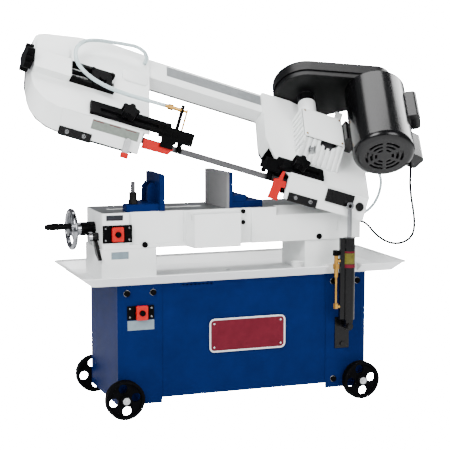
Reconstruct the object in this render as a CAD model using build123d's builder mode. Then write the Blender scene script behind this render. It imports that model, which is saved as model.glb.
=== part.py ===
from build123d import *
import os
from math import cos, pi, radians, sin, sqrt, tan

os.makedirs("parts", exist_ok=True)

# ---------------------------------------------------------------- driving dimensions (mm)
# Stand: X to the right, Y to the back, Z up, floor at zero, drawn about the cabinet centre.
base_x = 39.0            # the row's origin is the middle of the footprint box
base_y = 50.0
leg_bottom = 34.5
stand_top = 405.0
leg_left = -409.0
leg_right = 409.0
stand_half_depth = 160.0
sheet = 2.5
cart_wheel_r = 60.0
axle_r = 6.0
running_gap = 0.08
bed_left = -440.0
bed_right = 410.0
bed_front = -112.0
bed_back = 85.0
bed_bottom = 507.0
table_z = 618.0
jaw_top = 729.0
screw_y = -15.0
screw_z = 562.0
damper_x = 332.0
damper_y = -203.0
damper_pin_z = 240.0

# Head: the bow is drawn raised by bow_angle about the pivot shaft.
bow_angle = 17.0
pivot_x = 372.0
pivot_z = 615.0
blade_y = -150.0         # plane that the cutting run of the blade lies in
blade_above_pivot = 10.0
wheel_r = 140.0          # blade wheel
wheel_tilt = 45.0        # wheel plane leans back by this from the cutting plane
drive_s = 142.0          # distance of each wheel centre from the pivot, along the bow
idler_s = 884.0
face_n = 45.0            # casting front face, from the wheel plane
rim_n = -14.0            # casting back edge
worm_s = 190.0
worm_n = 78.0
motor_s = -4.0
motor_n = 185.0
motor_r = 97.0

# ---------------------------------------------------------------- directions of the head
phi = radians(bow_angle)
right = Vector(cos(phi), 0, -sin(phi))
along = right * -1
up = Vector(sin(phi), 0, cos(phi))
back = Vector(0, 1, 0)
lift = up * cos(radians(wheel_tilt)) + back * sin(radians(wheel_tilt))
axle = up * sin(radians(wheel_tilt)) - back * cos(radians(wheel_tilt))
blade_origin = Vector(pivot_x, blade_y, pivot_z) + up * blade_above_pivot


def bow(n=0.0, s=0.0, v=0.0):
    """Plane of the wheels: x to the right, y up and back, z out to the front."""
    spot = blade_origin + along * s + lift * (wheel_r + v) + axle * n
    return Plane(origin=spot, x_dir=right, z_dir=axle)


def front(y=0.0, s=0.0, u=0.0):
    """Plane of the cutting run: x to the right, y up across the bow, z to the front."""
    return Plane(origin=blade_origin + along * s + up * u + back * y, x_dir=right, z_dir=back * -1)


def section(s, y=0.0, u=0.0):
    """Plane across the bow: x to the back, y up, z to the right."""
    return Plane(origin=blade_origin + along * s + up * u + back * y, x_dir=back, z_dir=right)


def lifted(v, s, n):
    """Plane across the motor and worm axes: x to the right, z up and back."""
    spot = blade_origin + along * s + lift * (wheel_r + v) + axle * n
    return Plane(origin=spot, x_dir=right, z_dir=lift)


def slope(v, n):
    """A point of the wheel plane frame as (y, u) in a section plane."""
    c = sqrt(0.5)
    return ((wheel_r + v - n) * c, (wheel_r + v + n) * c)


def facing(x, y, z):
    """Upright plane that looks to the front, x to the right."""
    return Plane(origin=(x, y, z), x_dir=(1, 0, 0), z_dir=(0, -1, 0))


def sideways(x, y, z):
    """Upright plane that looks to the left, x to the front."""
    return Plane(origin=(x, y, z), x_dir=(0, -1, 0), z_dir=(-1, 0, 0))


# ---------------------------------------------------------------- small drawing helpers
def brick(x0, x1, y0, y1, z0, z1, mode=Mode.ADD):
    with BuildSketch(Plane.XY.offset(z0)) as face:
        with Locations(((x0 + x1) / 2, (y0 + y1) / 2)):
            Rectangle(x1 - x0, y1 - y0)
    extrude(face.sketch, amount=z1 - z0, mode=mode)


def pad(plane, x0, x1, y0, y1, height, radius=0.0, mode=Mode.ADD):
    with BuildSketch(plane) as face:
        with Locations(((x0 + x1) / 2, (y0 + y1) / 2)):
            if radius > 0:
                RectangleRounded(x1 - x0, y1 - y0, radius)
            else:
                Rectangle(x1 - x0, y1 - y0)
    extrude(face.sketch, amount=height, mode=mode)


def disc(plane, radius, height, mode=Mode.ADD):
    with BuildSketch(plane) as face:
        Circle(radius)
    extrude(face.sketch, amount=height, mode=mode)


def ring(plane, outer, inner, height, mode=Mode.ADD):
    with BuildSketch(plane) as face:
        Circle(outer)
        Circle(inner, mode=Mode.SUBTRACT)
    extrude(face.sketch, amount=height, mode=mode)


def prism(plane, outline, height, mode=Mode.ADD):
    with BuildSketch(plane) as face:
        with BuildLine():
            Polyline(*outline, close=True)
        make_face()
    extrude(face.sketch, amount=height, mode=mode)


def quarter(plane, x, y, radius):
    """Lower left quarter of a round face."""
    with BuildSketch(plane) as face:
        with BuildLine():
            Line((x, y), (x - radius, y))
            CenterArc((x, y), radius, 180, 90)
            Line((x, y - radius), (x, y))
        make_face()
    return face.sketch


def lobed(plane, radius, height, lobes=5):
    """Hand knob: a disc with a round lobe at each corner."""
    with BuildSketch(plane) as face:
        Circle(radius * 0.72)
        with PolarLocations(radius * 0.70, lobes):
            Circle(radius * 0.30)
    extrude(face.sketch, amount=height)


def hexagon(plane, radius, height, mode=Mode.ADD):
    with BuildSketch(plane) as face:
        RegularPolygon(radius, 6)
    extrude(face.sketch, amount=height, mode=mode)


# ================================================================ stand
def make_leg(outer_x, inner_x, axle_x):
    """Folded sheet leg, open towards the middle of the stand."""
    left, right_x = min(outer_x, inner_x), max(outer_x, inner_x)
    brick(left, right_x, -stand_half_depth, stand_half_depth, leg_bottom, stand_top)
    hollow_left = left + sheet if outer_x < inner_x else left - 1
    hollow_right = right_x + 1 if outer_x < inner_x else right_x - sheet
    inner_y = stand_half_depth - sheet
    brick(hollow_left, hollow_right, -inner_y, inner_y, leg_bottom - 1, stand_top - sheet, Mode.SUBTRACT)
    disc(facing(axle_x, 170, 60), axle_r + 0.3, 340, Mode.SUBTRACT)


with BuildPart() as left_leg:
    make_leg(leg_left, -269, -396)

with BuildPart() as right_leg:
    make_leg(leg_right, 273, 384)

with BuildPart() as cabinet_panels:
    for y0, y1 in ((-157.5, -155.5), (155.5, 157.5)):
        brick(-280, 284, y0, y1, 50, stand_top - sheet)
    brick(-269, 273, -155.5, -135.5, 50, 52)
    brick(-269, 273, 135.5, 155.5, 50, 52)
    for i in range(8):
        brick(-205 + i * 13, -196 + i * 13, -158, -155, 393, 397, Mode.SUBTRACT)

# rolled rim pan, with the front rim stepped back where the feed cylinder passes
pan_floor = (-487, 505, -168, 168)
pan_rim = (-520, 538, -199, 199)


def pan_body(grow, low, high, mode=Mode.ADD):
    with BuildSketch(Plane.XY.offset(low)) as bottom:
        with Locations(((pan_floor[0] + pan_floor[1]) / 2, 0)):
            RectangleRounded(pan_floor[1] - pan_floor[0] + grow, 2 * pan_floor[3] + grow, 16)
    with BuildSketch(Plane.XY.offset(high)) as top:
        with Locations(((pan_rim[0] + pan_rim[1]) / 2, 0)):
            RectangleRounded(pan_rim[1] - pan_rim[0] + grow, 2 * pan_rim[3] + grow, 30)
    loft(sections=[bottom.sketch, top.sketch], mode=mode)


notch = (262, 376)

with BuildPart() as chip_tray:
    pan_body(0, stand_top, 433)
    pan_body(-5, stand_top + 2.5, 433.01, Mode.SUBTRACT)
    with BuildSketch(Plane.XY.offset(433)) as lip:
        with Locations((9, 0)):
            RectangleRounded(1066, 406, 32)
            RectangleRounded(1046, 386, 26, mode=Mode.SUBTRACT)
    extrude(lip.sketch, amount=2.5)
    brick(notch[0], notch[1], -210, -166, stand_top - 1, 440, Mode.SUBTRACT)
    brick(notch[0] - sheet, notch[1] + sheet, -168.5, -166, stand_top + 2, 435.5)
    for x0 in (notch[0] - sheet, notch[1]):
        side = Plane(origin=(x0, 0, 0), x_dir=(0, 1, 0), z_dir=(1, 0, 0))
        prism(side, [(-165, 407), (-203, 432), (-203, 435.5), (-166, 435.5)], 2.5)
    disc(Plane.XY.offset(stand_top - 1), 11, 5, Mode.SUBTRACT)

with BuildPart() as bed_feet:
    for x0, x1 in ((-444, -271), (220, 345)):
        brick(x0, x1, bed_front, 82, stand_top + 2.5, bed_bottom)
        brick(x0 + 8, x1 - 8, bed_front + 8, 74, stand_top + 1, bed_bottom - 8, Mode.SUBTRACT)

hub_gap = (-62.0, 52.0)      # space between the two pivot lugs
with BuildPart() as bed:
    bed_height = table_z - bed_bottom
    pad(Plane.XY.offset(bed_bottom), bed_left, bed_right, bed_front, bed_back, bed_height, 8)
    pad(Plane.XY.offset(bed_bottom), 37, bed_right, -118, bed_front + 12, bed_height, 3)
    prism(Plane.XY.offset(bed_bottom), [(-177, -104), (-168, -172), (-18, -172), (-6, -104)], 104)
    brick(-356, -182, -113, -104, bed_bottom + 12, table_z + 1, Mode.SUBTRACT)
    ramp = Plane(origin=(120, 0, 0), x_dir=(0, 1, 0), z_dir=(1, 0, 0))
    prism(ramp, [(-130, 592), (-118, 592), (-82, table_z + 1), (-130, table_z + 1)], 290, Mode.SUBTRACT)
    pivot_front = facing(pivot_x, hub_gap[0], pivot_z)
    disc(pivot_front, 30, 118 + hub_gap[0])
    disc(facing(pivot_x, bed_back, pivot_z), 30, bed_back - hub_gap[1])
    brick(bed_left + 9, bed_right - 9, bed_front + 16, bed_back - 9, bed_bottom - 1, 604, Mode.SUBTRACT)
    brick(-400, -95, screw_y - 9, screw_y + 9, table_z - 15, table_z + 1, Mode.SUBTRACT)
    brick(330, bed_right + 1, hub_gap[0], hub_gap[1], 560, table_z + 40, Mode.SUBTRACT)
    brick(330, bed_right - 5, hub_gap[0] - 46, hub_gap[0], 515, 604)
    brick(330, bed_right - 5, hub_gap[1], hub_gap[1] + 24, 515, 604)
    disc(facing(pivot_x, 90, pivot_z), 16.08, 230, Mode.SUBTRACT)
    disc(sideways(-420, screw_y, screw_z), 10.08, 30, Mode.SUBTRACT)
    brick(-185, 20, blade_y - 4, blade_y + 4, 594, table_z + 1, Mode.SUBTRACT)

# ---------------------------------------------------------------- vise
jaw_yaw = radians(5.2)
jaw_plane = Plane(
    origin=(-42, -110, table_z), x_dir=(cos(jaw_yaw), sin(jaw_yaw), 0), z_dir=(0, 0, 1)
)
with BuildPart() as fixed_jaw:
    pad(jaw_plane, 8, 20, 0, 168, jaw_top - table_z)
    pad(jaw_plane, 20, 60, 2, 150, 16)
    pad(jaw_plane, 60, 124, 4, 110, 20)
    pad(jaw_plane, 19, 72, 6, 96, 38, 5)
    with BuildSketch(jaw_plane.offset(20)) as bolt:
        with Locations((92, 66)):
            RegularPolygon(11, 6)
    extrude(bolt.sketch, amount=8)
    with BuildSketch(jaw_plane.offset(38)) as bolt:
        with Locations((42, 60)):
            RegularPolygon(11, 6)
    extrude(bolt.sketch, amount=7)

with BuildPart() as fixed_jaw_face:
    pad(jaw_plane, 0, 8, 0, 168, jaw_top - table_z)

with BuildPart() as movable_jaw:
    brick(-259, -243, -110, 38, table_z, jaw_top)
    brick(-362, -259, -104, -60, table_z, table_z + 22)
    brick(-312, -259, -104, 26, table_z, table_z + 22)
    for y0 in (-52, 4):
        rib = Plane(origin=(0, y0, 0), x_dir=(1, 0, 0), z_dir=(0, -1, 0))
        prism(rib, [(-259, 640), (-285, 640), (-283, 688), (-273, 701), (-259, 701)], 13)
    brick(-345, -265, screw_y - 8.5, screw_y + 8.5, screw_z + 20, table_z)
    brick(-345, -265, screw_y - 26, screw_y + 26, screw_z - 20, screw_z + 20)
    disc(sideways(-260, screw_y, screw_z), 10.35, 90, Mode.SUBTRACT)
    with BuildSketch(Plane.XY.offset(table_z + 6)) as stud_hole:
        with Locations((-336, -83)):
            Circle(8.06)
    extrude(stud_hole.sketch, amount=20, mode=Mode.SUBTRACT)

with BuildPart() as lock_stud:
    stud = Plane(origin=(-336, -83, table_z + 6), z_dir=(0, 0, 1))
    disc(stud, 8, 16.3)
    hexagon(stud.offset(16.3), 15, 14)
    disc(stud.offset(30.3), 12, 22)
    disc(stud.offset(52.3), 7, 32)

with BuildPart() as leadscrew:
    disc(sideways(-92, screw_y, screw_z), 10, 405)
    disc(sideways(bed_left - 1, screw_y, screw_z), 21, 44)

with BuildPart() as handwheel:
    with BuildSketch(Plane(origin=(-512, screw_y, screw_z), x_dir=(0, -1, 0), z_dir=(0, 0, 1))) as rim:
        with Locations((57, 0)):
            Ellipse(7, 8)
    revolve(rim.sketch, axis=Axis((-512, screw_y, screw_z), (1, 0, 0)))
    ring(sideways(-485, screw_y, screw_z), 20, 10, 12)
    disc(sideways(-497, screw_y, screw_z), 20, 26)
    with BuildSketch(sideways(-507, screw_y, screw_z)) as spokes:
        with PolarLocations(35, 3, start_angle=90):
            Rectangle(38, 12)
    extrude(spokes.sketch, amount=10)
    disc(sideways(-512, -73, 579), 6, 14)
    disc(sideways(-526, -73, 579), 4, 78)

with BuildPart() as handwheel_grip:
    with BuildSketch(Plane(origin=(-527, -73, 579), x_dir=(-1, 0, 0), z_dir=(0, 0, 1))) as half:
        with BuildLine():
            Polyline((0, 4.06), (0, 9), (10, 8), (40, 11), (70, 10), (80, 7), (80, 4.06), close=True)
        make_face()
    revolve(half.sketch, axis=Axis((-527, -73, 579), (-1, 0, 0)))

with BuildPart() as release_lever:
    lever_at = sideways(bed_left - 0.5, -58, 541)
    disc(lever_at, 13, 20)
    disc(lever_at.offset(20), 17, 10)
    prism(lever_at.offset(4), [(-8, -9), (8, -9), (66, -62), (56, -66), (20, -50)], 10)

# ---------------------------------------------------------------- plates, switches, hardware
with BuildPart() as name_plates:
    with BuildSketch(facing(8, -157.5, 231)) as badge:
        with BuildLine():
            Line((-126, -45), (-126, 45))
            ThreePointArc((-126, 45), (0, 53), (126, 45))
            Line((126, 45), (126, -45))
            ThreePointArc((126, -45), (0, -53), (-126, -45))
        make_face()
        fillet(badge.vertices(), 16)
    extrude(badge.sketch, amount=5)
    pad(facing(-336, -stand_half_depth, 280), -42, 42, -15, 15, 1)
    pad(facing(-402, bed_front, 603), -26, 26, -8, 8, 1)
    pad(facing(-386, bed_front, 488), -27, 27, -11, 11, 1)

with BuildPart() as switch_boxes:
    pad(facing(-394, bed_front, 554), -46, 46, -27, 27, 3)
    pad(facing(-337, -stand_half_depth, 319), -42, 42, -21, 21, 3)


def rocker(at):
    """Paddle on a cross pin."""
    pad(at, -18, 18, -22, 22, 8, 4)
    disc(at.offset(8), 9, 5)
    disc(Plane(origin=at.origin + Vector(18, 0, 0), z_dir=(-1, 0, 0)), 2.5, 36)


with BuildPart() as rocker_upper:
    rocker(facing(-395, bed_front - 6.5, 554))

with BuildPart() as rocker_lower:
    rocker(facing(-335, -stand_half_depth - 6.5, 319))

with BuildPart() as stand_hardware:
    for x in (-396, 384):
        disc(facing(x, 206, 60), axle_r, 420)
        for y in (-stand_half_depth, 168.5):
            ring(facing(x, y, 60), 9, axle_r, 8)
        for y in (-202, 210):
            ring(facing(x, y, 60), 11, axle_r, 8)
    for x, z in ((-379, 379), (-297, 379), (297, 379), (380, 377), (301, 63)):
        disc(facing(x, -stand_half_depth, z), 9, 6)
    for x, z in ((-308, 518), (265, 518)):
        y = bed_front if x < 0 else -118
        disc(facing(x, y, z), 9, 5)
    for z in (608, 574):
        disc(facing(8, -118, z), 7, 4)


def cart_wheel(x, y):
    at = facing(x, y, 60)
    ring(at, cart_wheel_r, cart_wheel_r - 9, 24)
    ring(at.offset(8), cart_wheel_r - 8, axle_r + running_gap, 8)
    ring(at, 16, axle_r + running_gap, 24)
    with BuildSketch(at.offset(7)) as holes:
        with PolarLocations(35, 4, start_angle=10):
            Circle(14)
    extrude(holes.sketch, amount=10, mode=Mode.SUBTRACT)


with BuildPart() as cart_wheel_fl:
    cart_wheel(-396, -177)

with BuildPart() as cart_wheel_fr:
    cart_wheel(384, -177)

with BuildPart() as cart_wheel_bl:
    cart_wheel(-396, 193.5)

with BuildPart() as cart_wheel_br:
    cart_wheel(384, 193.5)

# ---------------------------------------------------------------- coolant
with BuildPart() as coolant_tank:
    brick(-240, 60, -130, 130, 52, 200)
    brick(-236, 56, -126, 126, 56, 201, Mode.SUBTRACT)
    brick(-60, 20, -60, 20, 196, 200)
    brick(-60, 20, 20, 130, 196, 200)
    with BuildSketch(Plane.XY.offset(200)) as pump:
        with Locations((-20, -20)):
            Circle(36)
    extrude(pump.sketch, amount=80)

with BuildPart() as drain_funnel:
    funnel_at = Plane(origin=(184, -134, stand_top + 2.5), z_dir=(0, 0, 1))
    disc(funnel_at, 12, 14)
    with BuildSketch(funnel_at.offset(14)) as low:
        Circle(12)
    with BuildSketch(funnel_at.offset(36)) as high:
        Circle(19)
    loft(sections=[low.sketch, high.sketch])
    disc(funnel_at.offset(30), 14, 8, Mode.SUBTRACT)

# ---------------------------------------------------------------- feed cylinder
with BuildPart() as damper_bracket:
    pad(facing(328, -stand_half_depth, 212), -24, 24, -50, 50, 4)
    disc(facing(damper_x, -164, damper_pin_z), 11, 25)
    disc(facing(damper_x, -189, damper_pin_z), axle_r, 28)
    disc(facing(damper_x, -213, damper_pin_z), 9, 5)
    disc(facing(330, -164, 176), 8, 5)

with BuildPart() as damper_cylinder:
    low_end = Plane(origin=(damper_x, damper_y, 262), z_dir=(0, 0, 1))
    disc(low_end, 18.5, 260)
    disc(low_end.offset(12), 15, 236, Mode.SUBTRACT)
    disc(low_end.offset(240), 7.06, 30, Mode.SUBTRACT)
    disc(facing(damper_x, -190.5, damper_pin_z), 13, 21)
    pad(facing(damper_x, -190.5, 250), -12, 12, 0, 14, 21)
    disc(facing(damper_x, -180, damper_pin_z), axle_r + running_gap, 50, Mode.SUBTRACT)
    brick(damper_x - 32, damper_x - 16, -209, -197, 264, 522)

with BuildPart() as damper_rod:
    rod_base = Plane(origin=(damper_x, damper_y, 300), z_dir=(0, 0, 1))
    disc(rod_base, 7, 312)
    disc(rod_base.offset(100), 14.92, 14)
    disc(facing(damper_x, damper_y + 5, 621.6), 12, 10)
    disc(facing(damper_x, damper_y + 20, 621.6), 6, 40, Mode.SUBTRACT)

with BuildPart() as damper_valve:
    valve = Plane(origin=(damper_x - 44, damper_y, 405), z_dir=(0, 0, 1))
    disc(valve.offset(-6), 7, 68)
    hexagon(valve.offset(20), 11, 16)
    disc(valve.offset(-92), 4, 88)
    hexagon(valve.offset(-106), 8, 16)
    disc(Plane(origin=(damper_x - 44, damper_y, 305), z_dir=(1, 0, 0)), 6, 12)
    disc(Plane(origin=(damper_x - 44, damper_y, 450), z_dir=(1, 0, 0)), 6, 12)

with BuildPart() as damper_knob:
    lobed(valve.offset(62.3), 12, 16, 6)

# ================================================================ head
throat_left = -726.0
throat_right = -333.0
beam_low = 100.0
beam_top = 180.0
with BuildPart() as bow_casting:
    # left housing
    with BuildSketch(bow(rim_n)) as left_box:
        with BuildLine():
            Polyline((throat_left, -150), (-1000, -150))
            CenterArc((-1000, -50), 100, 180, 90)
            Polyline((-1100, -50), (-1100, 100), (-1096, 114), (-1086, 126), (-1066, 137),
                     (-955, 168), (-840, 184), (throat_left, beam_top), (throat_left, -150))
        make_face()
    extrude(left_box.sketch, amount=face_n - rim_n)
    # its lower corner flares out towards the back
    extrude(quarter(bow(rim_n), -993, -92, 97), amount=10)
    corner_low = quarter(bow(rim_n + 10), -993, -92, 106)
    corner_high = quarter(bow(face_n), -1000, -50, 100)
    loft(sections=[corner_low, corner_high], ruled=True)
    # right housing, rounded around the drive wheel
    with BuildSketch(bow(rim_n)) as right_box:
        with BuildLine():
            Polyline((25, -150), (-257, -150), (-303, -95), (throat_right, -20), (throat_right, beam_top),
                     (-drive_s - 90, beam_top), (-drive_s, 160))
            CenterArc((-drive_s, 0), 160, 0, 90)
            Polyline((-drive_s + 160, 0), (25, -40), (25, -150))
        make_face()
    extrude(right_box.sketch, amount=face_n - rim_n)
    # beam over the throat
    pad(bow(rim_n), throat_left - 2, throat_right + 2, beam_low, beam_top, 48)
    # upright faces that carry the guides
    panel = [(-38, -44), (-38, 26), slope(-148, face_n), slope(-148, face_n - 8), (-30, 22), (-30, -44)]
    prism(section(1000), panel, 1000 - 745)
    prism(section(1000), [(-30, -44), (-30, -36), (-24, -44)], 1000 - 745)
    panel[0], panel[-1] = (-38, -50), (-30, -50)
    prism(section(257), panel, 282)
    # ledge under the right guide
    prism(section(257), [(-38, 20), (-38, 34.2), slope(-143.3, face_n), (-32, 20)], 118)
    # wheel pockets and blade run
    with BuildSketch(bow(rim_n - 1)) as left_pocket:
        with BuildLine():
            Polyline((throat_left - 9, -151), (-999, -151))
            CenterArc((-999, -59), 92, 180, 90)
            Polyline((-1091, -59), (-1091, 146), (-1079, 158), (throat_left - 9, 158), (throat_left - 9, -151))
        make_face()
    extrude(left_pocket.sketch, amount=52, mode=Mode.SUBTRACT)
    with BuildSketch(bow(rim_n - 1)) as right_pocket:
        with Locations((-drive_s, 0)):
            Circle(151)
        with Locations((-drive_s - 90, -3)):
            Rectangle(176, 296)
    extrude(right_pocket.sketch, amount=52, mode=Mode.SUBTRACT)
    pad(bow(rim_n - 1), -880, -150, 108, 172, 41, 0, Mode.SUBTRACT)
    # adjuster channel and slot, guide bosses
    pad(bow(face_n), -1100, -985, -38, 38, 23, 6)
    pad(bow(face_n - 20), -925, -843, -14.4, 14.4, 40, 0, Mode.SUBTRACT)
    disc(section(1110, *slope(0, 55)), 7.4, 140, Mode.SUBTRACT)
    disc(bow(face_n - 20, drive_s, 0), 22, 40, Mode.SUBTRACT)
    for s in (805, 236):
        disc(bow(face_n - 20, s, -124), 4.6, 40, Mode.SUBTRACT)
    # pivot hub between the bed lugs, with its rib
    prism(section(45), [(29, -60), (89, -60), (89, 24), (29, 24)], 90, Mode.SUBTRACT)
    prism(section(8), [(92, -10), (190, -10), (190, 60), slope(60, rim_n + 2.5), slope(20, rim_n + 2.5)], 30)
    disc(facing(pivot_x, hub_gap[1] - 1, pivot_z), 29, hub_gap[1] - hub_gap[0] - 2)
    disc(facing(pivot_x, 95, pivot_z), 16, 221, Mode.SUBTRACT)
    disc(facing(pivot_x, -120, pivot_z), 14, 80, Mode.SUBTRACT)
    # way for the blade through the inner wall, and gland for the supply hose
    pad(bow(rim_n - 1), -740, -720, -155, -122, 52, 0, Mode.SUBTRACT)
    disc(section(-14, *slope(0, 10)), 8, 9)

with BuildPart() as pivot_shaft:
    disc(facing(pivot_x, 100, pivot_z), 16, 226)
    disc(facing(pivot_x, 106, pivot_z), 20, 6)
    disc(facing(pivot_x, -126, pivot_z), 14, 66)

with BuildPart() as wheel_cover:
    with BuildSketch(bow(rim_n - 3)) as cover:
        with BuildLine():
            Polyline((-742, -188), (-1000, -190), (-1031, -183), (-1062, -163), (-1083, -132), (-1093, -95),
                     (-1103, -50), (-1103, 108), (-1080, 134), (-955, 168), (-840, 180), (-250, 180),
                     (-drive_s, 160), (-70, 135), (-37, 105), (-37, -56), (-124, -172), (-262, -176),
                     (-330, -40), (-330, 97),
                     (-723, 97), (-723, -40), close=True)
        make_face()
    extrude(cover.sketch, amount=2)
    disc(section(975, *slope(-189, rim_n - 3)), 2.5, 215)

with BuildPart() as cover_latch:
    latch_at = front(-38.3, 786, -17)
    disc(latch_at, 10, 6)
    pad(latch_at, -9, 9, -34, 0, 6)
    pad(latch_at, -11, 11, -50, -33, 13, 3)

with BuildPart() as edge_plates:
    for s in (895, 145):
        pad(front(-38), -s - 100, -s, -53, -26, 3)
        for dx in (-84, -16):
            disc(front(-41, s - dx, -39.5), 6, 2)

with BuildPart() as gearbox:
    block = [(92, face_n), (92, 110), (-30, 110), (-84, 52), (-84, face_n)]
    side_plane = Plane(origin=bow(0, 232, 0).origin, x_dir=lift, z_dir=right)
    with BuildSketch(side_plane) as profile:
        with BuildLine():
            Polyline(*block, close=True)
        make_face()
    extrude(profile.sketch, amount=144)
    disc(lifted(92.1, worm_s, worm_n), 28, 59.9)
    # cooling fins: grooves across the sloped side, and along the left side
    groove = [(-25, 105.2), (-79, 47.2), (-90, 50), (-90, 56), (-34, 114)]
    for i in range(8):
        groove_plane = Plane(origin=bow(0, 224 - i * 17.4, 0).origin, x_dir=lift, z_dir=right)
        prism(groove_plane, groove, 9, Mode.SUBTRACT)
    for i in range(7):
        pad(bow(face_n + 4), -233, -226, -50 + i * 20, -40 + i * 20, 56, 0, Mode.SUBTRACT)
    # room for the wheel gear and the worm
    disc(bow(60, drive_s, 0), 42, 60, Mode.SUBTRACT)
    disc(bow(40, drive_s, 0), 22, 30, Mode.SUBTRACT)
    disc(lifted(-64, worm_s, worm_n), 13, 156, Mode.SUBTRACT)
    disc(lifted(90, worm_s, worm_n), 9, 70, Mode.SUBTRACT)
    prism(bow(60), [(-98, 92.1), (-72, 92.1), (-46, 176), (-72, 176)], 6)

with BuildPart() as gearbox_lid:
    pad(bow(110), -230, -90, -29, 90, 4, 4)
    for x in (-222, -98):
        for y in (-20, 80):
            disc(bow(114, -x, y), 4, 1.5)


def guard_outline(grow):
    """Two unequal circles joined by their outer tangent, in the lifted plane of the worm."""
    span_x = worm_s - motor_s
    span_y = worm_n - motor_n
    with BuildSketch(lifted(0, worm_s, worm_n)) as outline:
        Circle(101 + grow)
        with Locations((span_x, span_y)):
            Circle(57 + grow)
        make_hull()
    return outline.sketch


def guard_layer(low, high, grow, mode=Mode.ADD):
    shape = guard_outline(grow).moved(Location(lift * low))
    extrude(shape, amount=high - low, dir=lift, mode=mode)


with BuildPart() as belt_guard:
    guard_layer(184, 204, 0)
    guard_layer(186.5, 204.1, -3, Mode.SUBTRACT)
    disc(lifted(183, worm_s, worm_n), 14, 8, Mode.SUBTRACT)
    disc(lifted(183, motor_s, motor_n), 14, 8, Mode.SUBTRACT)
    ring(lifted(152, worm_s, worm_n), 27, 14, 32)

with BuildPart() as belt_guard_lid:
    guard_layer(204.3, 249, 4)
    crown = faces().sort_by(Axis(bow().origin, lift))[-1]
    fillet(crown.outer_wire().edges(), 9)
    guard_layer(204.2, 243, 1, Mode.SUBTRACT)
    disc(section(210, *slope(204, worm_n - 105)), 3, 40)

with BuildPart() as motor:
    # capacitor cover, junction box and foot, each cut to sit on the round case
    for angle, v0, v1, reach, wide in ((33, 32, 138, 40, 66), (-8, -60, 40, 60, 56)):
        frame_at = Plane(origin=lifted(v0, motor_s, motor_n).origin, x_dir=right * cos(radians(angle))
                         + axle * sin(radians(angle)), z_dir=lift)
        pad(frame_at, motor_r - 20, motor_r + reach - 8, -wide / 2, wide / 2, v1 - v0, 14)
    pad(bow(72), -88, -46, -5, 70, 60)
    disc(lifted(-100, motor_s, motor_n), motor_r + 0.3, 300, Mode.SUBTRACT)
    # case with a rounded fan cover
    disc(lifted(-96, motor_s, motor_n), motor_r, 280)
    low_rim = edges().filter_by(GeomType.CIRCLE).sort_by(Axis(bow().origin, lift))[0]
    fillet(low_rim, 20)
    disc(lifted(-76, motor_s, motor_n), motor_r - 6, 252, Mode.SUBTRACT)
    disc(lifted(170, motor_s, motor_n), 12, 20, Mode.SUBTRACT)
    with BuildSketch(lifted(-97, motor_s, motor_n)) as vents:
        for outer, inner in ((60, 52), (45, 37), (30, 22)):
            Circle(outer)
            Circle(inner, mode=Mode.SUBTRACT)
        for angle in (0, 60, 120):
            Rectangle(130, 11, rotation=angle, mode=Mode.SUBTRACT)
    extrude(vents.sketch, amount=11, mode=Mode.SUBTRACT)

with BuildPart() as motor_rotor:
    disc(lifted(-72, motor_s, motor_n), 9, 286)
    disc(lifted(-30, motor_s, motor_n), 52, 150)
    disc(lifted(-72, motor_s, motor_n), 70, 14)
    ring(lifted(192, motor_s, motor_n), 32, 9, 22)

with BuildPart() as input_worm:
    disc(lifted(-56, worm_s, worm_n), 7.9, 270)
    disc(lifted(-44, worm_s, worm_n), 10.5, 88)
    ring(lifted(192, worm_s, worm_n), 75, 7.9, 22)

with BuildPart() as drive_belt:
    with BuildSketch(lifted(198, worm_s, worm_n)) as loop:
        Circle(85)
        with Locations((worm_s - motor_s, worm_n - motor_n)):
            Circle(42)
        make_hull()
    extrude(loop.sketch, amount=10)
    with BuildSketch(lifted(197, worm_s, worm_n)) as inner_loop:
        Circle(75.5)
        with Locations((worm_s - motor_s, worm_n - motor_n)):
            Circle(32.5)
        make_hull()
    extrude(inner_loop.sketch, amount=12, mode=Mode.SUBTRACT)


def blade_wheel(s, bore):
    ring(bow(-10, s, 0), wheel_r - 0.35, 126, 20)
    ring(bow(10, s, 0), wheel_r + 2.5, 126, 2.5)
    ring(bow(-4, s, 0), 128, bore, 8)
    ring(bow(-10, s, 0), 30, bore, 22)
    with BuildSketch(bow(-5, s, 0)) as windows:
        with PolarLocations(80, 5):
            Circle(26)
    extrude(windows.sketch, amount=10, mode=Mode.SUBTRACT)


with BuildPart() as drive_wheel:
    blade_wheel(drive_s, 1)
    disc(bow(-12, drive_s, 0), 15, 112)
    disc(bow(66, drive_s, 0), 37.2, 24)

with BuildPart() as idler_wheel:
    blade_wheel(idler_s, 12 + running_gap)

with BuildPart() as tension_block:
    disc(bow(-11, idler_s, 0), 12, 53.5)
    pad(bow(36), -904, -864, -14, 14, 10)
    pad(bow(45.3), -919, -856, -24, 24, 19.4)
    disc(bow(64.7, idler_s, 0), 12, 6)

with BuildPart() as tension_guide:
    for y0, y1 in ((24.3, 36), (-36, -24.3)):
        pad(bow(face_n), -984.5, -845, y0, y1, 18)
        for x in (-975, -915, -855):
            disc(bow(face_n + 18, -x, (y0 + y1) / 2), 4.5, 4)

with BuildPart() as tension_knob:
    tip = section(1130, *slope(0, 55))
    lobed(tip, 44, 22)
    disc(tip, 7, 210)
    disc(tip.offset(22), 14, 7)

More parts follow.
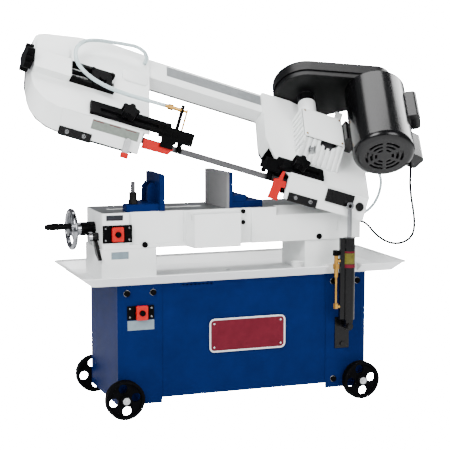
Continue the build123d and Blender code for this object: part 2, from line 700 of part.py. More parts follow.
with BuildPart() as blade:
    half = 9.5
    for s, side in ((drive_s, 1), (idler_s, -1)):
        with BuildSketch(bow(-half)) as bend:
            with Locations((-s, 0)):
                Circle(wheel_r + 1)
                Circle(wheel_r, mode=Mode.SUBTRACT)
            with Locations((-s - side * 200, 0)):
                Rectangle(400, 400, mode=Mode.SUBTRACT)
        extrude(bend.sketch, amount=2 * half)
    pad(bow(-half), -idler_s, -drive_s, wheel_r, wheel_r + 1, 2 * half)


    def band(s, twist):
        """Blade cross-section at s, turned from the wheel plane towards upright."""
        middle = blade_origin + along * s + lift * -0.5
        wide = up * cos(radians(twist)) - back * sin(radians(twist))
        with BuildSketch(Plane(origin=middle, x_dir=wide, z_dir=right)) as strip:
            Rectangle(2 * half, 1)
        return strip.sketch


    loft(sections=[band(drive_s, 45), band(226, 22.5), band(310, 0)], ruled=True)
    loft(sections=[band(310, 0), band(650, 0)], ruled=True)
    loft(sections=[band(650, 0), band(765, 22.5), band(idler_s, 45)], ruled=True)


guide_arch = [(-34, 20), (-34, 60), (-14, 60), (-14, 44), (20, 44), (20, 25), (-22, 25), (-22, 20)]


def guide_rollers(s):
    """Two bearings beside the blade and one over its back."""
    for y in (9.5, -9.5):
        middle = blade_origin + along * s + back * (y - 0.35) + up * -7
        disc(Plane(origin=middle, z_dir=up), 8, 16)
    disc(Plane(origin=blade_origin + along * (s + 22) + up * 18.6 + back * 4, z_dir=back * -1), 7.5, 8)


with BuildPart() as guide_left:
    pad(bow(face_n + 0.3), -918, -660, -142, -96, 12)
    pad(bow(face_n), -888, -702, -130, -118, 20, 0, Mode.SUBTRACT)
    prism(section(684), guide_arch, 96)
    pad(front(-26), -684, -645, -4, 30, 8)
    for y in (9.5, -9.5):
        disc(Plane(origin=blade_origin + along * 615 + back * (y - 0.35) + up * 9, z_dir=up), 5, 18)
    guide_rollers(615)
    pad(front(-15), -648, -640, 40, 134, 12)
    disc(Plane(origin=front(-21, 650, 118).origin, z_dir=right), 4, 12, Mode.SUBTRACT)
    disc(Plane(origin=front(-21, 628, 39).origin, z_dir=up), 3, 30, Mode.SUBTRACT)

with BuildPart() as guide_right:
    pad(bow(face_n + 0.3), -300, -143, -142, -98, 12)
    pad(bow(face_n), -252, -160, -130, -118, 20, 0, Mode.SUBTRACT)
    prism(section(340), guide_arch, 50)
    for y in (9.5, -9.5):
        disc(Plane(origin=blade_origin + along * 310 + back * (y - 0.35) + up * 9, z_dir=up), 5, 18)
    guide_rollers(310)

def guide_knob(s):
    disc(bow(face_n - 7, s, -124), 4.5, 34)
    disc(bow(face_n + 12.6, s, -124), 13, 4)
    lobed(bow(face_n + 27, s, -124), 28, 20)
    disc(bow(face_n + 16, s, -124), 10, 12)


with BuildPart() as knob_left:
    guide_knob(805)

with BuildPart() as knob_right:
    guide_knob(236)

with BuildPart() as red_guard_left:
    prism(front(-22), [(-736, -24), (-736, 6), (-664, 6), (-653, 12), (-639, -3), (-651, -22)], 4)

with BuildPart() as red_guard_right:
    prism(front(-34), [(-283, 30), (-275, 30), (-276, 2), (-262, 1), (-262, -19), (-275, -20), (-275, -62),
                       (-309, -61), (-305, -26), (-304, 1), (-290, 4)], 4)

with BuildPart() as coolant_valve:
    disc(Plane(origin=front(-21, 700, 118).origin, z_dir=right), 6, 52)
    hexagon(Plane(origin=front(-21, 690, 118).origin, z_dir=right), 9, 16)
    disc(Plane(origin=front(-21, 648, 118).origin, z_dir=right), 4, 20)
    disc(Plane(origin=front(-21, 628, 40).origin, z_dir=up), 3, 84)

with BuildPart() as damper_mount:
    pad(front(-38), -122, -27, -22, 19, 6)
    for s, u in ((105, -12), (100, 8), (50, 8)):
        disc(front(-44, s, u), 6, 2)
    disc(front(-44, 39, -15), 8, 3)

# ---------------------------------------------------------------- hoses and cable
def bend_radii(points):
    """Largest sensible bend at each inner point of a route."""
    radii = []
    for before, corner, after in zip(points, points[1:], points[2:]):
        first = corner - before
        second = after - corner
        turn = radians(first.get_angle(second))
        radii.append(0.45 * min(first.length, second.length) / tan(turn / 2))
    return radii


def tube(points, radius, name):
    """Round tube along a route; prints its bends and its volume beside section times length."""
    spots = [Vector(*p) for p in points]
    radii = bend_radii(spots)
    with BuildLine() as path:
        FilletPolyline(*spots, radius=radii)
    with BuildSketch(Plane(origin=spots[0], z_dir=spots[1] - spots[0])) as cut:
        Circle(radius)
    solid = sweep(cut.sketch, path=path.wire())
    length = path.wire().length
    print(name, "bends", [round(r) for r in radii], "length", round(length),
          "volume ratio", round(solid.volume / (pi * radius ** 2 * length), 4))
    return solid


def on_bow(s, v, n):
    """World place of a point given along, across and out of the wheel plane."""
    return tuple(blade_origin + along * s + lift * (wheel_r + v) + axle * n)


coolant_route = [on_bow(*p) for p in (
    (742, 140, 45), (742, 140, 80), (782, 154, 92), (824, 155, 84), (868, 150, 80), (911, 139, 81),
    (948, 122, 81), (974, 90, 80), (982, 48, 80), (970, 5, 81), (938, -29, 83), (893, -52, 86),
    (845, -64, 90), (792, -70, 94), (743, -71.6, 98), (700, -71.6, 98))]
cable_start = lifted(-60, motor_s - 106, motor_n - 15)
cable_route = [
    tuple(cable_start.origin), tuple(cable_start.origin - lift * 34), (519, -243, 690), (533, -226, 645),
    (554, -202, 600), (574, -174, 556), (584, -148, 516), (574, -124, 489), (546, -102, 477),
    (514, -85, 486), (484, -71, 510), (462, -62, 540), (438, -60, 555), (410, -60, 555)]
supply_route = [
    on_bow(-23, 0, 10), on_bow(-56, 0, 10), (492, -28, 716), (526, 8, 708), (553, 38, 690), (567, 58, 660),
    (567, 72, 624), (556, 84, 590), (534, 96, 562), (502, 108, 547), (466, 119, 544), (432, 125, 545),
    (405, 121, 545), (391, 106, 545), (391, 85, 545)]

with BuildPart() as coolant_hose:
    add(tube(coolant_route, 6, "coolant_hose"))

with BuildPart() as motor_cable:
    add(tube(cable_route, 4, "motor_cable"))

with BuildPart() as supply_hose:
    add(tube(supply_route, 5, "supply_hose"))

pieces = {
    "left_leg": left_leg, "right_leg": right_leg, "cabinet_panels": cabinet_panels, "chip_tray": chip_tray,
    "bed_feet": bed_feet, "bed": bed, "fixed_jaw": fixed_jaw,
    "fixed_jaw_face": fixed_jaw_face, "movable_jaw": movable_jaw, "lock_stud": lock_stud,
    "leadscrew": leadscrew, "handwheel": handwheel, "handwheel_grip": handwheel_grip,
    "release_lever": release_lever, "name_plates": name_plates, "switch_boxes": switch_boxes,
    "rocker_upper": rocker_upper, "rocker_lower": rocker_lower, "stand_hardware": stand_hardware,
    "cart_wheel_fl": cart_wheel_fl, "cart_wheel_fr": cart_wheel_fr, "cart_wheel_bl": cart_wheel_bl,
    "cart_wheel_br": cart_wheel_br, "coolant_tank": coolant_tank, "drain_funnel": drain_funnel,
    "damper_bracket": damper_bracket, "damper_cylinder": damper_cylinder, "damper_rod": damper_rod,
    "damper_valve": damper_valve, "damper_knob": damper_knob, "bow_casting": bow_casting,
    "pivot_shaft": pivot_shaft, "wheel_cover": wheel_cover, "cover_latch": cover_latch,
    "edge_plates": edge_plates, "gearbox": gearbox, "gearbox_lid": gearbox_lid, "belt_guard": belt_guard,
    "belt_guard_lid": belt_guard_lid, "motor": motor, "motor_rotor": motor_rotor,
    "input_worm": input_worm, "drive_belt": drive_belt, "drive_wheel": drive_wheel,
    "idler_wheel": idler_wheel, "tension_block": tension_block, "tension_guide": tension_guide,
    "tension_knob": tension_knob, "blade": blade, "guide_left": guide_left, "guide_right": guide_right,
    "knob_left": knob_left, "knob_right": knob_right, "red_guard_left": red_guard_left,
    "red_guard_right": red_guard_right, "coolant_valve": coolant_valve, "damper_mount": damper_mount,
    "coolant_hose": coolant_hose, "supply_hose": supply_hose,
    "motor_cable": motor_cable,
}
to_row = Location((base_x, base_y, 0))
for label, builder in pieces.items():
    solid = builder.part.moved(to_row)
    solid.label = label
    export_step(solid, "parts/" + label + ".step")
    box = solid.bounding_box()
    print(label, len(solid.solids()), round(solid.volume / 1000), "cc",
          [round(v) for v in (box.min.X, box.max.X, box.min.Y, box.max.Y, box.min.Z, box.max.Z)])
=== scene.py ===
from math import cos, pi, radians, sin, sqrt

import bmesh
import bpy
from mathutils import Matrix, Vector


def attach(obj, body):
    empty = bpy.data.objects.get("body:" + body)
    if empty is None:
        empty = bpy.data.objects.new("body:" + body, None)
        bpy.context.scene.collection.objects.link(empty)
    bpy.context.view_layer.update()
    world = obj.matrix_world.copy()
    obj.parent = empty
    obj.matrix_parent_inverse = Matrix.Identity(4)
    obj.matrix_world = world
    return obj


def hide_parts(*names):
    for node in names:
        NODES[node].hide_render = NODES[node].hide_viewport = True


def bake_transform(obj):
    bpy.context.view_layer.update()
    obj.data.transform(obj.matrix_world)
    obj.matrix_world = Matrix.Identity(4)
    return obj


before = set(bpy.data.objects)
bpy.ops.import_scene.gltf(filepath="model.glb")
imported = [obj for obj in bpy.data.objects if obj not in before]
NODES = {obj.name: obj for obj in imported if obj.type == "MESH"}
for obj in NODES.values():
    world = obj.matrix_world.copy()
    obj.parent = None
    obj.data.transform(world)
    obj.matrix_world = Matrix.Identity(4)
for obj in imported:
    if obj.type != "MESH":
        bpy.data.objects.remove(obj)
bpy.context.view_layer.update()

# ---------------------------------------------------------------- frame of the machine
# The CAD is drawn about the cabinet centre, in mm; at() turns such a point into the row frame, in metres.
BASE = Vector((39.0, 50.0, 0.0))
PHI = radians(17.0)
RIGHT = Vector((cos(PHI), 0, -sin(PHI)))
ALONG = -RIGHT
UP = Vector((sin(PHI), 0, cos(PHI)))
BACK = Vector((0, 1, 0))
LIFT = (UP + BACK) * sqrt(0.5)
AXLE = (UP - BACK) * sqrt(0.5)
X, Y = Vector((1, 0, 0)), Vector((0, 1, 0))
BLADE = Vector((372, -150, 615)) + UP * 10


def at(x, y, z):
    return (Vector((x, y, z)) + BASE) / 1000


def bow(s, v, n):
    """Point of the wheel plane frame: s to the free end, v up and back, n out to the front."""
    return at(*(BLADE + ALONG * s + LIFT * (140 + v) + AXLE * n))


def front(y, s, u):
    """Point of the cutting plane frame: y back, s to the free end, u up across the bow."""
    return at(*(BLADE + ALONG * s + UP * u + BACK * y))


def axes(origin, x_dir, z_dir):
    """Local frame with its own x and z directions."""
    z = z_dir.normalized()
    x = (x_dir - z * x_dir.dot(z)).normalized()
    y = z.cross(x)
    m = Matrix((x, y, z)).transposed().to_4x4()
    m.translation = origin
    return m


def facing(x, y, z):
    return axes(at(x, y, z), X, -Y)


def on_front(y, s, u):
    return axes(front(y, s, u), RIGHT, -Y)


def on_bow(s, v, n):
    return axes(bow(s, v, n), RIGHT, AXLE)


# ---------------------------------------------------------------- camera, light, floor
WORLD_LIGHT = 0.30   # strength of the sky as a light
BACKDROP = 40.0      # strength of the sky as the camera sees it
FLOOR_GLOW = 40.0    # strength of the floor's own light, seen by the camera only


def make_camera():
    cam = bpy.data.objects.new("camera", bpy.data.cameras.new("camera"))
    bpy.context.scene.collection.objects.link(cam)
    cam.data.lens = 112.29
    cam.data.sensor_width = 36
    cam.data.clip_end = 60
    az, pitch, roll = radians(19.705), radians(7.523), radians(0.054)
    look = Vector((sin(az) * cos(pitch), cos(az) * cos(pitch), -sin(pitch)))
    cam.rotation_mode = "QUATERNION"
    cam.location = at(-1501.8, -4168.2, 1135.7)
    cam.rotation_quaternion = look.to_track_quat("-Z", "Y") @ Matrix.Rotation(roll, 4, "Z").to_quaternion()
    bpy.context.scene.camera = cam


def area(name, place, target, size, power):
    data = bpy.data.lights.new(name, "AREA")
    data.shape = "RECTANGLE"
    data.size, data.size_y = size
    data.energy = power
    lamp = bpy.data.objects.new(name, data)
    bpy.context.scene.collection.objects.link(lamp)
    lamp.location = place
    lamp.rotation_mode = "QUATERNION"
    lamp.rotation_quaternion = (Vector(target) - Vector(place)).to_track_quat("-Z", "Y")


def camera_only(tree, bright, soft):
    """Mix of two closures: the first for what the camera sees, the second for light and reflections."""
    path = tree.nodes.new("ShaderNodeLightPath")
    mix = tree.nodes.new("ShaderNodeMixShader")
    tree.links.new(path.outputs["Is Camera Ray"], mix.inputs[0])
    tree.links.new(soft, mix.inputs[1])
    tree.links.new(bright, mix.inputs[2])
    return mix.outputs[0]


def make_studio():
    world = bpy.data.worlds.new("studio")
    bpy.context.scene.world = world
    world.use_nodes = True
    tree = world.node_tree
    soft = tree.nodes["Background"]
    soft.inputs[0].default_value = (0.92, 0.95, 1.0, 1)
    soft.inputs[1].default_value = WORLD_LIGHT
    seen = tree.nodes.new("ShaderNodeBackground")
    seen.inputs[0].default_value = (1, 1, 1, 1)
    seen.inputs[1].default_value = BACKDROP
    out = tree.nodes["World Output"]
    tree.links.new(camera_only(tree, seen.outputs[0], soft.outputs[0]), out.inputs[0])
    area("key", (-2.6, -2.4, 3.0), (0, 0, 0.7), (1.8, 2.4), 260)
    area("front", (1.1, -3.6, 2.0), (0.1, 0, 0.8), (1.6, 2.2), 120)
    area("top", (0.0, 0.4, 3.6), (0, 0, 0.6), (2.8, 1.6), 130)
    area("rim", (2.8, 0.8, 2.0), (0.3, 0, 0.8), (1.0, 2.2), 110)
    bm = bmesh.new()
    bmesh.ops.create_grid(bm, x_segments=2, y_segments=2, size=14)
    floor = bpy.data.objects.new("floor", bpy.data.meshes.new("floor"))
    bm.to_mesh(floor.data)
    bm.free()
    bpy.context.scene.collection.objects.link(floor)
    floor.location = (0, 6, 0)
    mat = bpy.data.materials.new("floor_paper")
    mat.use_nodes = True
    tree = mat.node_tree
    shader = tree.nodes["Principled BSDF"]
    shader.inputs["Base Color"].default_value = (0.92, 0.92, 0.92, 1)
    shader.inputs["Roughness"].default_value = 0.95
    shader.inputs["Specular IOR Level"].default_value = 0.1
    glow = tree.nodes.new("ShaderNodeEmission")
    glow.inputs[1].default_value = FLOOR_GLOW
    both = tree.nodes.new("ShaderNodeAddShader")
    tree.links.new(shader.outputs[0], both.inputs[0])
    tree.links.new(glow.outputs[0], both.inputs[1])
    out = tree.nodes["Material Output"]
    tree.links.new(camera_only(tree, both.outputs[0], shader.outputs[0]), out.inputs[0])
    floor.data.materials.append(mat)


make_camera()
make_studio()


# ---------------------------------------------------------------- materials
MATS = {}


def material(name, colour, rough=0.4, metal=0.0, coat=0.0, scale=60.0, mottle=0.08, bump=0.05, fine=900.0,
             brushed=None, clear=0.0, wear=0.0, edge=0.0012, shine=0.5):
    """Procedural finish: mottled colour and roughness, fine bump, soft edges, optional edge wear."""
    mat = bpy.data.materials.new(name)
    mat.use_nodes = True
    tree = mat.node_tree
    shader = tree.nodes["Principled BSDF"]
    link = tree.links.new

    def node(kind, **values):
        made = tree.nodes.new(kind)
        for key, value in values.items():
            if key in made.inputs:
                made.inputs[key].default_value = value
            else:
                setattr(made, key, value)
        return made

    coords = node("ShaderNodeTexCoord")
    place = node("ShaderNodeMapping")
    link(coords.outputs["Object"], place.inputs["Vector"])
    if brushed:
        place.inputs["Scale"].default_value = brushed
    coarse = node("ShaderNodeTexNoise", Scale=scale, Detail=4.0, Roughness=0.6)
    link(coords.outputs["Object"], coarse.inputs["Vector"])
    grain = node("ShaderNodeTexNoise", Scale=fine, Detail=3.0, Roughness=0.55)
    link(place.outputs["Vector"], grain.inputs["Vector"])

    ramp = node("ShaderNodeValToRGB")
    low = [c * (1 - mottle) for c in colour]
    high = [min(1.0, c * (1 + mottle)) for c in colour]
    ramp.color_ramp.elements[0].position = 0.3
    ramp.color_ramp.elements[0].color = (*low, 1)
    ramp.color_ramp.elements[1].position = 0.7
    ramp.color_ramp.elements[1].color = (*high, 1)
    link(coarse.outputs["Fac"], ramp.inputs["Fac"])
    colour_out = ramp.outputs["Color"]
    if wear > 0:
        geometry = node("ShaderNodeNewGeometry")
        edges = node("ShaderNodeValToRGB")
        edges.color_ramp.elements[0].position = 0.52
        edges.color_ramp.elements[1].position = 0.60
        link(geometry.outputs["Pointiness"], edges.inputs["Fac"])
        amount = node("ShaderNodeMath", operation="MULTIPLY")
        link(edges.outputs["Color"], amount.inputs[0])
        amount.inputs[1].default_value = wear
        mix = node("ShaderNodeMix", data_type="RGBA")
        link(amount.outputs[0], mix.inputs[0])
        link(colour_out, mix.inputs[6])
        mix.inputs[7].default_value = (0.55, 0.55, 0.56, 1)
        colour_out = mix.outputs[2]
    link(colour_out, shader.inputs["Base Color"])

    spread = node("ShaderNodeMapRange")
    spread.inputs["To Min"].default_value = max(0.03, rough - 0.07)
    spread.inputs["To Max"].default_value = min(1.0, rough + 0.07)
    link(grain.outputs["Fac"], spread.inputs["Value"])
    link(spread.outputs["Result"], shader.inputs["Roughness"])
    shader.inputs["Metallic"].default_value = metal
    shader.inputs["Specular IOR Level"].default_value = shine
    shader.inputs["IOR"].default_value = 1.5 if shine > 0.14 else 1.18
    if coat:
        shader.inputs["Coat Weight"].default_value = coat
        shader.inputs["Coat Roughness"].default_value = 0.08
    if clear:
        shader.inputs["Transmission Weight"].default_value = clear
        shader.inputs["IOR"].default_value = 1.4
    relief = node("ShaderNodeBump", Strength=bump, Distance=0.0006)
    link(grain.outputs["Fac"], relief.inputs["Height"])
    if edge:
        soft = node("ShaderNodeBevel", samples=4)
        soft.inputs["Radius"].default_value = edge
        link(soft.outputs["Normal"], relief.inputs["Normal"])
    link(relief.outputs["Normal"], shader.inputs["Normal"])
    MATS[name] = mat
    return mat


material("blue", (0.002, 0.0095, 0.062), rough=0.42, scale=14, mottle=0.12, bump=0.22, fine=520, shine=0.10)
material("white", (0.80, 0.82, 0.81), rough=0.34, coat=0.12, scale=9, mottle=0.025, bump=0.08,
         fine=260, edge=0.003)
material("tray_white", (0.84, 0.85, 0.85), rough=0.30, coat=0.15, scale=9, mottle=0.02, bump=0.05, fine=240,
         edge=0.0015)
material("black", (0.0014, 0.0014, 0.0017), shine=0.18, rough=0.26, scale=22, mottle=0.25,
         bump=0.08, fine=420)
material("black_satin", (0.0014, 0.0014, 0.0016), shine=0.13, rough=0.32, scale=30, mottle=0.25,
         bump=0.18, fine=600)
material("motor_black", (0.0012, 0.0012, 0.0015), shine=0.30, rough=0.20, scale=18, mottle=0.2,
         bump=0.10, fine=380,
         edge=0.003)
material("guard_black", (0.0014, 0.0014, 0.0016), shine=0.16, rough=0.34, scale=18, mottle=0.2,
         bump=0.22, fine=420, edge=0.003)
material("rubber", (0.0016, 0.0016, 0.002), shine=0.12, rough=0.58, scale=40, mottle=0.3,
         bump=0.25, fine=700)
material("red", (0.40, 0.0006, 0.0003), shine=0.2, rough=0.36, scale=25, mottle=0.08, bump=0.06, fine=400)
material("switch_red", (0.42, 0.001, 0.0004), shine=0.2, rough=0.38, scale=40, mottle=0.06,
         bump=0.05, fine=500)
material("steel", (0.50, 0.51, 0.52), rough=0.30, metal=1.0, scale=60, mottle=0.10, bump=0.08, fine=260,
         brushed=(1, 1, 14))
material("blade_steel", (0.075, 0.075, 0.078), rough=0.36, metal=0.8, scale=30, mottle=0.20,
         bump=0.10, fine=90,
         brushed=(1, 12, 26))
material("table_steel", (0.20, 0.205, 0.21), rough=0.34, metal=0.9, scale=8, mottle=0.12,
         bump=0.12, fine=60,
         brushed=(1, 22, 1))
material("jaw_steel", (0.014, 0.014, 0.0135), shine=0.10, rough=0.40, metal=0.0, scale=26,
         mottle=0.30, bump=0.20, fine=120,
         brushed=(12, 1, 1), wear=0.3)
material("chrome", (0.34, 0.345, 0.36), rough=0.13, metal=1.0, scale=30, mottle=0.06, bump=0.02, fine=300)
material("wheel_chrome", (0.24, 0.245, 0.26), rough=0.12, metal=1.0, scale=30, mottle=0.08,
         bump=0.02, fine=300)
material("screw_steel", (0.20, 0.205, 0.21), rough=0.26, metal=1.0, scale=60, mottle=0.10,
         bump=0.05, fine=300)
material("grey_iron", (0.07, 0.07, 0.075), rough=0.50, metal=0.7, scale=20, mottle=0.2, bump=0.4, fine=240)
material("brass", (0.42, 0.22, 0.045), rough=0.28, metal=1.0, scale=60, mottle=0.15, bump=0.06, fine=300)
material("hose", (0.60, 0.72, 0.74), rough=0.20, scale=40, mottle=0.05, bump=0.02, fine=200, clear=0.35)
material("badge", (0.100, 0.010, 0.018), shine=0.10, rough=0.30, scale=30, mottle=0.12, bump=0.04, fine=400)
material("badge_metal", (0.58, 0.58, 0.58), rough=0.25, metal=1.0, scale=60, mottle=0.10,
         bump=0.05, fine=300)
material("label_dark", (0.008, 0.009, 0.013), shine=0.2, rough=0.40, scale=60, mottle=0.25,
         bump=0.03, fine=300)
material("label_grey", (0.15, 0.16, 0.165), shine=0.2, rough=0.42, scale=60, mottle=0.10,
         bump=0.03, fine=300)
material("label_blue", (0.16, 0.21, 0.24), shine=0.2, rough=0.42, scale=60, mottle=0.08, bump=0.03,
         fine=300)
material("label_pale", (0.15, 0.17, 0.15), shine=0.2, rough=0.42, scale=120, mottle=0.14,
         bump=0.03, fine=300)
material("label_olive", (0.085, 0.075, 0.008), shine=0.2, rough=0.42, scale=160, mottle=0.35,
         bump=0.03, fine=300)
material("plastic_white", (0.78, 0.79, 0.78), rough=0.42, scale=20, mottle=0.04, bump=0.08, fine=300)

FINISH = {
    "left_leg": "blue", "right_leg": "blue", "cabinet_panels": "blue", "chip_tray": "tray_white",
    "bed_feet": "white", "bed": "white", "fixed_jaw": "blue", "fixed_jaw_face": "jaw_steel",
    "movable_jaw": "blue", "lock_stud": "black", "leadscrew": "steel", "handwheel": "wheel_chrome",
    "handwheel_grip": "black_satin", "release_lever": "black", "name_plates": "label_dark",
    "switch_boxes": "black_satin", "rocker_upper": "switch_red", "rocker_lower": "switch_red",
    "stand_hardware": "steel", "cart_wheel_fl": "rubber", "cart_wheel_fr": "rubber",
    "cart_wheel_bl": "rubber", "cart_wheel_br": "rubber", "coolant_tank": "plastic_white",
    "drain_funnel": "plastic_white", "damper_bracket": "black", "damper_cylinder": "black",
    "damper_rod": "chrome", "damper_valve": "brass", "damper_knob": "black_satin", "bow_casting": "white",
    "pivot_shaft": "black", "wheel_cover": "black", "cover_latch": "steel", "edge_plates": "black",
    "gearbox": "white", "gearbox_lid": "white", "belt_guard": "guard_black",
    "belt_guard_lid": "guard_black", "motor": "motor_black", "motor_rotor": "grey_iron",
    "input_worm": "steel", "drive_belt": "rubber", "drive_wheel": "grey_iron", "idler_wheel": "grey_iron",
    "tension_block": "black_satin", "tension_guide": "black_satin", "tension_knob": "black_satin",
    "blade": "blade_steel", "guide_left": "black_satin", "guide_right": "black_satin",
    "knob_left": "black_satin", "knob_right": "black_satin", "red_guard_left": "red",
    "red_guard_right": "red", "coolant_valve": "brass", "damper_mount": "black",
}


def paint(name, finish, where):
    """Gives the faces of a CAD node that pass a test on centre and normal a finish of their own."""
    mesh = NODES[name].data
    mesh.materials.append(MATS[finish])
    index = len(mesh.materials) - 1
    for face in mesh.polygons:
        if where(face.center, face.normal):
            face.material_index = index


for node_name, finish in FINISH.items():
    mesh = NODES[node_name].data
    mesh.materials.clear()
    mesh.materials.append(MATS[finish])
    for face in mesh.polygons:
        face.material_index = 0


def near(c, x, y, z, reach):
    """Whether a face centre lies within reach, in mm, of a point."""
    return (c - at(x, y, z)).length < reach / 1000


paint("bed", "table_steel", lambda c, n: n.z > 0.9 and c.z > 0.6165)
paint("name_plates", "badge_metal",
      lambda c, n: c.z < 0.29 and n.y > -0.5 and not near(c, -336, -160, 280, 60))
paint("name_plates", "badge", lambda c, n: near(c, 8, -162, 231, 200) and n.y < -0.5)
paint("name_plates", "label_blue",
      lambda c, n: near(c, -336, -160, 280, 60) or near(c, -386, -112, 488, 40))
for switch in ("rocker_upper", "rocker_lower"):
    face_y = min(v.co.y for v in NODES[switch].data.vertices)
    paint(switch, "black_satin", lambda c, n: c.y < face_y + 0.0049)
paint("stand_hardware", "black_satin", lambda c, n: c.z > 0.3)
paint("stand_hardware", "black_satin", lambda c, n: near(c, 301, -163, 63, 20))
paint("cover_latch", "red", lambda c, n: (c - front(-45, 786, -58)).length < 0.0175)
paint("release_lever", "chrome", lambda c, n: c.x < at(-459.8, 0, 0).x and near(c, -466, -58, 541, 30))
paint("leadscrew", "black_satin", lambda c, n: c.x < at(-440.5, 0, 0).x)
paint("gearbox_lid", "brass",
      lambda c, n: n.dot(AXLE) > 0.9 and (c - bow(0, 0, 0)).dot(AXLE) > 0.1149)
paint("lock_stud", "grey_iron", lambda c, n: c.z > 0.671)


# ---------------------------------------------------------------- mesh helpers
def finish_piece(name, bm, mat, body, smooth=35):
    """Turns a bmesh into a visible piece that rides with a body."""
    mesh = bpy.data.meshes.new(name)
    bmesh.ops.recalc_face_normals(bm, faces=bm.faces)
    bm.to_mesh(mesh)
    bm.free()
    mesh.materials.append(MATS[mat])
    mesh.shade_smooth()
    mesh.set_sharp_from_angle(angle=radians(smooth))
    piece = bpy.data.objects.new(name, mesh)
    bpy.context.scene.collection.objects.link(piece)
    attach(piece, body)


def smooth_line(route):
    """Points along the smooth NURBS line that has the route as its control points."""
    curve = bpy.data.curves.new("line", "CURVE")
    curve.dimensions = "3D"
    spline = curve.splines.new("NURBS")
    spline.points.add(len(route) - 1)
    for point, spot in zip(spline.points, route):
        point.co = (*spot, 1)
    spline.order_u = 3
    spline.use_endpoint_u = True
    curve.resolution_u = 10
    holder = bpy.data.objects.new("line", curve)
    bpy.context.scene.collection.objects.link(holder)
    bpy.context.view_layer.update()
    mesh = bpy.data.meshes.new_from_object(holder)
    points = [v.co.copy() for v in mesh.vertices]
    bpy.data.objects.remove(holder)
    bpy.data.curves.remove(curve)
    bpy.data.meshes.remove(mesh)
    return points


def tube_mesh(points, radius, sides=14):
    """Closed round tube along a list of points."""
    bm = bmesh.new()
    rings = []
    side = None
    for i, point in enumerate(points):
        ahead = points[min(i + 1, len(points) - 1)] - points[max(i - 1, 0)]
        ahead.normalize()
        if side is None:
            side = ahead.orthogonal().normalized()
        side = (side - ahead * side.dot(ahead)).normalized()
        other = ahead.cross(side)
        rings.append([bm.verts.new(point + side * (radius * cos(2 * pi * k / sides))
                                   + other * (radius * sin(2 * pi * k / sides))) for k in range(sides)])
    for a, b in zip(rings, rings[1:]):
        for k in range(sides):
            bm.faces.new((a[k], a[(k + 1) % sides], b[(k + 1) % sides], b[k]))
    bm.faces.new(list(reversed(rings[0])))
    bm.faces.new(rings[-1])
    return bm


def hose(name, node, route, diameter, mat):
    """A cord laid in a fixed curve between two bodies, in place of its plain CAD tube."""
    points = smooth_line(route)
    mesh = bpy.data.meshes.new(name)
    bm = tube_mesh(points, diameter / 2)
    bmesh.ops.recalc_face_normals(bm, faces=bm.faces)
    bm.to_mesh(mesh)
    bm.free()
    mesh.materials.append(MATS[mat])
    mesh.shade_smooth()
    piece = bpy.data.objects.new(name, mesh)
    bpy.context.scene.collection.objects.link(piece)
    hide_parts(node)
    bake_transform(piece)
    return piece


# ---------------------------------------------------------------- hoses and cable
coolant_route = [bow(*p) for p in (
    (742, 140, 45), (742, 140, 80), (782, 154, 92), (824, 155, 84), (868, 150, 80), (911, 139, 81),
    (948, 122, 81), (974, 90, 80), (982, 48, 80), (970, 5, 81), (938, -29, 83), (893, -52, 86),
    (845, -64, 90), (792, -70, 94), (743, -71.6, 98), (700, -71.6, 98))]
cable_route = [bow(-110, -60, 170), bow(-110, -94, 170)] + [at(*p) for p in (
    (519, -243, 690), (533, -226, 645), (554, -202, 600), (574, -174, 556), (584, -148, 516),
    (574, -124, 489), (546, -102, 477), (514, -85, 486), (484, -71, 510), (462, -62, 540),
    (438, -60, 555), (410, -60, 555))]
supply_route = [bow(-23, 0, 10), bow(-56, 0, 10)] + [at(*p) for p in (
    (492, -28, 716), (526, 8, 708), (553, 38, 690), (567, 58, 660), (567, 72, 624), (556, 84, 590),
    (534, 96, 562), (502, 108, 547), (466, 119, 544), (432, 125, 545), (405, 121, 545), (391, 106, 545),
    (391, 85, 545))]
hose("coolant_line", "coolant_hose", coolant_route, 0.012, "hose")
hose("motor_lead", "motor_cable", cable_route, 0.008, "rubber")
hose("supply_line", "supply_hose", supply_route, 0.010, "hose")

# ---------------------------------------------------------------- small details
def outline(w, h, r, n=5):
    """Rounded rectangle as a list of points, in mm."""
    r = min(r, w / 2 - 0.01, h / 2 - 0.01)
    points = []
    for cx, cy, start in ((w / 2 - r, h / 2 - r, 0), (r - w / 2, h / 2 - r, 90),
                          (r - w / 2, r - h / 2, 180), (w / 2 - r, r - h / 2, 270)):
        for k in range(n + 1):
            a = radians(start + 90 * k / n)
            points.append((cx + r * cos(a), cy + r * sin(a)))
    return points


def stack(bm, place, loops, ring=False):
    """Skin through loops of points at their heights in mm, capped at its ends or closed into a ring."""
    rings = [[bm.verts.new(place @ (Vector((x, y, z)) / 1000)) for x, y in points] for points, z in loops]
    pairs = list(zip(rings, rings[1:]))
    if ring:
        pairs.append((rings[-1], rings[0]))
    for a, b in pairs:
        for k in range(len(a)):
            bm.faces.new((a[k], a[(k + 1) % len(a)], b[(k + 1) % len(a)], b[k]))
    if not ring:
        bm.faces.new(list(reversed(rings[0])))
        bm.faces.new(rings[-1])


def slab(bm, place, w, h, t, r=2.0, soft=0.2, steps=1):
    """Rounded plate of thickness t with a softened outer edge."""
    loops = [(outline(w, h, r), -0.4), (outline(w, h, r), t - soft)]
    for k in range(1, steps + 1):
        a = radians(90 * k / steps)
        inset = 2 * soft * (1 - cos(a))
        loops.append((outline(w - inset, h - inset, r - inset / 2), t - soft + soft * sin(a)))
    stack(bm, place, loops)


def frame_ring(bm, place, w, h, t, band, r):
    """Raised rim of the given band width around a rounded rectangle."""
    inner = outline(w - 2 * band, h - 2 * band, max(0.5, r - band))
    stack(bm, place, [(outline(w, h, r), -0.4), (outline(w, h, r), t - 0.4),
                      (outline(w - 0.8, h - 0.8, r - 0.4), t), (inner, t), (inner, -0.4)], ring=True)


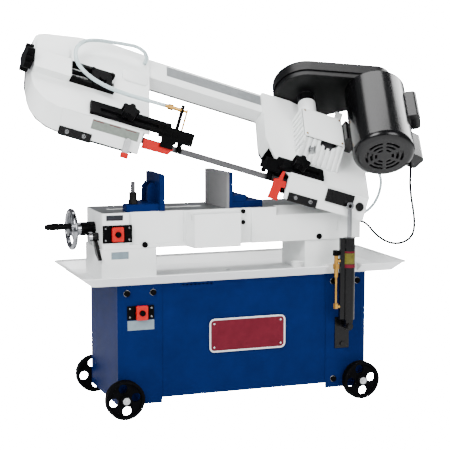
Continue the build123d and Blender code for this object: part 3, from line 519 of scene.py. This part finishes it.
def screw(bm, place, r, t):
    """Screw head with a round socket in it."""
    def circle(size):
        return outline(2 * size, 2 * size, size, 4)
    stack(bm, place, [(circle(r), -0.4), (circle(r), t - 0.5), (circle(r - 0.5), t), (circle(0.58 * r), t),
                      (circle(0.50 * r), t * 0.35)])


def sector(bm, x, y, r, z0, z1, reach):
    """Thin curved label around the front of an upright cylinder."""
    steps = 16
    rows = []
    for radius in (r, r + 0.35):
        rows.append([[bm.verts.new(at(x + radius * sin(a), y - radius * cos(a), z)) for z in (z0, z1)]
                     for a in [radians(reach * (2 * k / steps - 1)) for k in range(steps + 1)]])
    inner, outer = rows
    for k in range(steps):
        bm.faces.new((outer[k][0], outer[k + 1][0], outer[k + 1][1], outer[k][1]))
        bm.faces.new((inner[k][1], inner[k + 1][1], inner[k + 1][0], inner[k][0]))
        for j in (0, 1):
            bm.faces.new((inner[k][j], inner[k + 1][j], outer[k + 1][j], outer[k][j]))
    for k in (0, steps):
        bm.faces.new((inner[k][0], inner[k][1], outer[k][1], outer[k][0]))


pads = bmesh.new()
slab(pads, on_bow(1038, 78, 45), 112, 58, 8, r=20, soft=7, steps=4)
slab(pads, on_bow(775, 66, 45), 82, 49, 4, r=13, soft=3.5, steps=3)
finish_piece("casting_pads", pads, "white", "head")

strips = bmesh.new()
slab(strips, on_bow(436, 151, 34), 452, 41, 0.4, r=1)
finish_piece("beam_strip", strips, "label_grey", "head")
strips = bmesh.new()
slab(strips, on_front(-38, 830, 4.5), 148, 29, 0.16, r=1, soft=0.1)
finish_piece("arm_label", strips, "label_pale", "head")
dashes = bmesh.new()
for s, width in ((885, 34), (834, 36), (784, 34)):
    slab(dashes, on_front(-38.1, s, 15.5), width, 2.2, 0.16, r=0.5, soft=0.1)
finish_piece("arm_label_dashes", dashes, "badge", "head")

screws = bmesh.new()
for s in (918, 970, 168, 220):
    screw(screws, on_front(-41, s, -38), 6.5, 2.6)
finish_piece("plate_screws", screws, "screw_steel", "head", smooth=30)
gasket = bmesh.new()
frame_ring(gasket, on_bow(160, 30.5, 109.6), 142.6, 121.6, 1.3, 2.0, 9)
finish_piece("lid_gasket", gasket, "rubber", "head")

trim = bmesh.new()
frame_ring(trim, facing(8, -162.3, 231), 252, 106, 1.6, 5.5, 16)
for x, z in ((-110, 37), (110, 37), (-110, -37), (110, -37)):
    slab(trim, facing(8 + x, -162.4, 231 + z), 7, 7, 2.2, r=3.5, soft=1.6, steps=3)
finish_piece("badge_trim", trim, "badge_metal", "stand", smooth=30)
washers = bmesh.new()
for x, z in ((-379, 379), (-297, 379), (297, 379), (380, 377), (301, 63)):
    frame_ring(washers, facing(x, -160, z), 21, 21, 1.2, 1.9, 10.5)
for x, y, z in ((-431, -115, 572), (-431, -115, 536), (-357, -115, 572), (-357, -115, 536),
                (-371, -163, 332), (-371, -163, 306), (-303, -163, 332), (-303, -163, 306)):
    screw(washers, facing(x, y, z), 3.2, 1.2)
finish_piece("washers_and_screws", washers, "screw_steel", "stand", smooth=30)
rib = bmesh.new()
lean = facing(333, -118, 560) @ Matrix.Rotation(radians(-12.5), 4, "Z")
slab(rib, lean, 7, 52, 3, r=3, soft=2, steps=3)
finish_piece("bed_rib", rib, "white", "stand")

bands = bmesh.new()
sector(bands, 332, -203, 18.6, 440, 474, 105)
finish_piece("damper_label", bands, "label_olive", "cylinder", smooth=60)
bands = bmesh.new()
sector(bands, 332, -203, 18.6, 475, 480, 105)
sector(bands, 332, -203, 18.6, 428, 439, 105)
finish_piece("damper_bands", bands, "badge", "cylinder", smooth=60)
